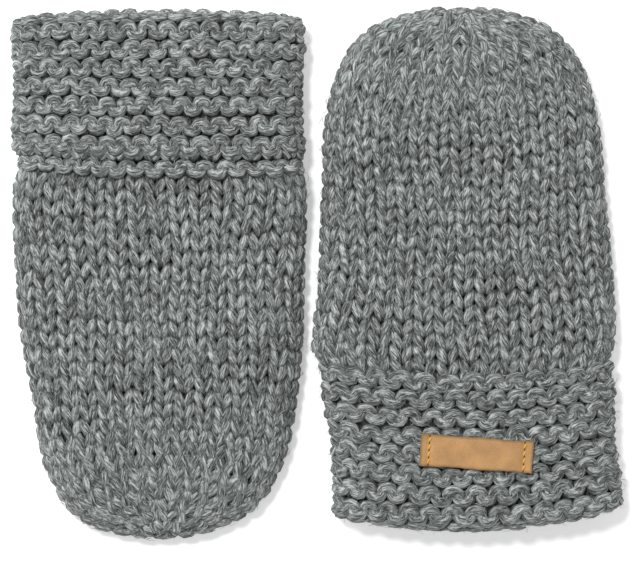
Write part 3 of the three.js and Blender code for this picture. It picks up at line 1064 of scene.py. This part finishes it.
class MITTENS_OT_cuffs(bpy.types.Operator):
    """Knit the two turned-up cuffs in ridges, over their thin cloth"""

    bl_idname = "mittens.cuffs"
    bl_label = "Knit the cuffs"

    def execute(self, context):
        knit = context.scene.mitten_knit
        wool, shade_backing = knit_materials(knit)
        for side, mitten in MITTENS.items():
            rng = np.random.default_rng(mitten.seed + 1)
            cloth = cuff_cloth(mitten)
            edge = last_ridge_cloth(mitten)
            places = np.arange(mitten.ridge_stitches) / mitten.ridge_stitches
            courses = []
            step = mitten.ridge_pitch / 2
            reach = FREE_EDGE - FOLD + FOLD_LENGTH + INNER_REACH
            rows = []
            for row in range(int((reach - mitten.ridge_start) / step)):
                share = 1 - (mitten.ridge_start + (row + 0.5) * step) / CUFF_PATH
                loop = ridge_loop(knit, row % 2 == 1, RIDGE_HEIGHT)
                rows.append((cloth, share, step / CUFF_PATH, loop))
            if mitten.ridge_start:
                share = 1 - EDGE_ROW / CUFF_PATH
                rows.append((cloth, share, EDGE_ROW_HEIGHT * step / CUFF_PATH, face_loop(knit, False)))
            step = step * mitten.last_stretch
            for row in range(2):
                share = (STRIP_HIDDEN + LAST_RIDGE + (row - 0.5) * step) / STRIP
                loop = ridge_loop(knit, row % 2 == 0, mitten.last_raised)
                rows.append((edge, share, step / STRIP, loop))
            for tube, share, row_share, loop in rows:
                courses.append(knit_row(knit, tube, share, row_share, places, loop, CUFF_STEPS, rng))
            yarn = give(yarn_object(f"{side}_cuff_knit", courses), wool)
            count = int(CUFF_FUZZ * knit.fuzz)
            fuzz = give(fuzz_object(f"{side}_cuff_fuzz", courses, count, rng), wool)
            shell_shares = np.linspace(*CUFF_SHELL_ENDS, CUFF_SHELL_ROWS)
            shell = thin_cloth(f"{side}_cuff_cloth", cloth, shell_shares, *CUFF_SHELL, True)
            # The thin cloth's dark grey is painted shade, seen in the gaps between the loops
            give(shell, shade_backing)
            for made in (yarn, fuzz, shell):
                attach(made, "root")
                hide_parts(f"{side}_cuff")
        return {"FINISHED"}


def label_wave(x, y, label):
    """How far the label's face rises or sinks: it is a little wavy, and the sewing pulls it in."""
    ends = label.length / 2 - label.sewn_in
    wave = 0.12 * np.sin(0.31 * x / MM + 0.6) + 0.07 * np.sin(0.9 * y / MM + 0.22 * x / MM)
    pulled = np.exp(-(((np.abs(x) - ends) / (0.55 * MM)) ** 2))
    return (wave - 0.22 * pulled) * MM


def settle(made, label, middle):
    """Turn a piece that was made at the origin as the label is turned, and move it there."""
    bpy.ops.object.select_all(action="DESELECT")
    made.select_set(True)
    bpy.context.view_layer.objects.active = made
    bpy.ops.object.mode_set(mode="EDIT")
    bpy.ops.mesh.select_all(action="SELECT")
    bpy.ops.transform.rotate(value=-label.turn, orient_axis="Z", center_override=(0, 0, 0))
    bpy.ops.transform.translate(value=middle)
    bpy.ops.object.mode_set(mode="OBJECT")
    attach(made, "root")
    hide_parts("label")


def beads(name, places, size, slant, material):
    """Small long beads of one size and slant, joined in one piece."""
    made = []
    for place in places:
        bpy.ops.object.select_all(action="DESELECT")
        bpy.ops.mesh.primitive_uv_sphere_add(segments=14, ring_count=8, radius=0.5)
        bpy.ops.object.mode_set(mode="EDIT")
        bpy.ops.mesh.select_all(action="SELECT")
        bpy.ops.transform.resize(value=size)
        bpy.ops.transform.rotate(value=-slant, orient_axis="Z", center_override=(0, 0, 0))
        bpy.ops.transform.translate(value=place)
        bpy.ops.object.mode_set(mode="OBJECT")
        bpy.ops.object.shade_smooth()
        made.append(bpy.context.object)
    bpy.ops.object.select_all(action="DESELECT")
    for bead in made:
        bead.select_set(True)
    bpy.context.view_layer.objects.active = made[0]
    bpy.ops.object.join()
    joined = bpy.context.object
    joined.name = name
    return give(joined, material)


class MITTENS_OT_label(bpy.types.Operator):
    """Cut the bare leather label and sew it on at both ends"""

    bl_idname = "mittens.label"
    bl_label = "Sew on the label"

    def execute(self, context):
        label = context.scene.mitten_label
        low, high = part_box("label")
        top, thickness = float(high[2]), float(high[2] - low[2])
        middle = ((low[0] + high[0]) / 2 + LABEL_SHIFT[0], (low[1] + high[1]) / 2 + LABEL_SHIFT[1], 0)
        bpy.ops.object.select_all(action="DESELECT")
        bpy.ops.mesh.primitive_grid_add(x_subdivisions=72, y_subdivisions=24, size=1)
        strip = context.object
        strip.name = "leather_label"
        bpy.ops.object.mode_set(mode="EDIT")
        bpy.ops.mesh.select_all(action="SELECT")
        bpy.ops.transform.resize(value=(label.length, label.width, 1))
        bpy.ops.mesh.extrude_region_move(TRANSFORM_OT_translate={"value": (0, 0, thickness)})
        bpy.ops.mesh.select_all(action="SELECT")
        bpy.ops.mesh.normals_make_consistent(inside=False)
        bpy.ops.object.mode_set(mode="OBJECT")
        bevel = strip.modifiers.new("cut_edge", "BEVEL")
        bevel.width = CUT_EDGE
        bevel.segments = 2
        bpy.ops.object.modifier_apply(modifier=bevel.name)
        bpy.ops.object.shade_smooth_by_angle(angle=math.radians(40))
        mesh = strip.data
        places = np.empty(len(mesh.vertices) * 3, np.float32)
        mesh.vertices.foreach_get("co", places)
        places = places.reshape(-1, 3).astype(float)
        x, y = places[:, 0].copy(), places[:, 1].copy()
        inset = np.minimum(label.length / 2 - np.abs(x), label.width / 2 - np.abs(y))
        add_values(mesh, "inset", "FLOAT", inset / MM)
        add_values(mesh, "label_place", "FLOAT_VECTOR", np.column_stack([x, y, 0 * x]) / MM)
        uneven = 0.1 * MM * np.sin(0.45 * x / MM + 1.0) + 0.04 * MM * np.sin(1.7 * x / MM)
        places[:, 1] += uneven * 2 * y / label.width
        places[:, 0] += 0.07 * MM * np.sin(0.9 * y / MM) * 2 * x / label.length
        raised = places[:, 2] > thickness / 2
        places[:, 2] += top - thickness + label_wave(x, y, label) * np.where(raised, 1, 0.6)
        mesh.vertices.foreach_set("co", places.astype(np.float32).ravel())
        mesh.update()
        give(strip, leather_material(label))
        settle(strip, label, middle)
        holes, threads = [], []
        count = int(label.width / label.stitch)
        for x in (-label.length / 2 + label.sewn_in, label.length / 2 - label.sewn_in):
            for i in range(count + 1):
                y = (i - count / 2) * label.stitch
                level = top + float(label_wave(x, y, label))
                holes.append((x, y, level))
                if i:
                    threads.append((x, y - label.stitch / 2, level + THREAD_RISE))
        thread = plain_material("gold_thread", label.thread, 0.5)
        # The needle holes are dark beads: their dark brown is painted shade inside the holes
        hole_shade = plain_material("needle_hole_shade", (74, 54, 26))
        settle(beads("label_thread", threads, THREAD, STITCH_SLANT, thread), label, middle)
        settle(beads("label_holes", holes, NEEDLE_HOLE, STITCH_SLANT, hole_shade), label, middle)
        return {"FINISHED"}


def soft_light(name, place, size, power):
    """A round soft light that faces the pair."""
    bpy.ops.object.light_add(type="AREA", location=place)
    light = bpy.context.object
    light.name = name
    light.data.shape = "DISK"
    light.data.size = size
    light.data.energy = power
    x, y, z = place
    light.rotation_euler = (math.atan2(math.hypot(x, y), z), 0, math.atan2(y, x) + math.pi / 2)


class MITTENS_OT_stage(bpy.types.Operator):
    """Set the floor, the light and the camera above the pair"""

    bl_idname = "mittens.stage"
    bl_label = "Set the stage"

    def execute(self, context):
        stage = context.scene.mitten_stage
        bpy.ops.object.select_all(action="DESELECT")
        bpy.ops.mesh.primitive_plane_add(size=FLOOR_SIZE, location=(0, 0, 0))
        paper = plain_material("pale_floor", (252, 252, 252), 0.8)
        glow = {"Emission Color": (1, 1, 1, 1), "Emission Strength": stage.glow}
        set_values(nodes_of(paper)[2], glow)
        floor = give(context.object, paper)
        floor.name = "floor"
        world = context.scene.world or bpy.data.worlds.new("pale_world")
        context.scene.world = world
        world.use_nodes = True
        set_values(
            world.node_tree.nodes["Background"], {"Color": (1, 1, 1, 1), "Strength": stage.fill}
        )
        soft_light("key_light", KEY_PLACE, KEY_SIZE, stage.key)
        soft_light("side_light", SIDE_PLACE, SIDE_SIZE, stage.side)
        away = stage.width * LENS / SENSOR
        x = (PHOTO_MIDDLE[0] - PAIR_MIDDLE[0]) * PIXEL
        y = (PAIR_MIDDLE[1] - PHOTO_MIDDLE[1]) * PIXEL
        bpy.ops.object.camera_add(location=(x, y, away + FACE_HEIGHT), rotation=(0, 0, 0))
        camera = context.object
        camera.data.lens = LENS
        camera.data.sensor_width = SENSOR
        camera.data.clip_end = 20
        context.scene.camera = camera
        context.scene.view_settings.view_transform = "Standard"
        return {"FINISHED"}


class MITTENS_PT_panel(bpy.types.Panel):
    """The pieces of the pair, in the order in which they are made"""

    bl_idname = "MITTENS_PT_panel"
    bl_label = "Mittens"
    bl_space_type = "VIEW_3D"
    bl_region_type = "UI"
    bl_category = "Mittens"

    def draw(self, context):
        for name in STEPS:
            self.layout.operator(f"mittens.{name}")
        for settings in ("mitten_knit", "mitten_label", "mitten_stage"):
            group = getattr(context.scene, settings)
            box = self.layout.box()
            for name in group.__annotations__:
                box.prop(group, name)


STEPS = ("bodies", "cuffs", "label", "stage")
SETTINGS = {"mitten_knit": KnitSettings, "mitten_label": LabelSettings, "mitten_stage": StageSettings}
OPERATORS = (MITTENS_OT_bodies, MITTENS_OT_cuffs, MITTENS_OT_label, MITTENS_OT_stage)


def register():
    for made in (*SETTINGS.values(), *OPERATORS, MITTENS_PT_panel):
        bpy.utils.register_class(made)
    for name, kind in SETTINGS.items():
        setattr(bpy.types.Scene, name, PointerProperty(type=kind))


def unregister():
    for name in SETTINGS:
        delattr(bpy.types.Scene, name)
    for made in reversed((*SETTINGS.values(), *OPERATORS, MITTENS_PT_panel)):
        bpy.utils.unregister_class(made)


def main():
    register()
    for name in STEPS:
        getattr(bpy.ops.mittens, name)()


if __name__ == "__main__":
    main()
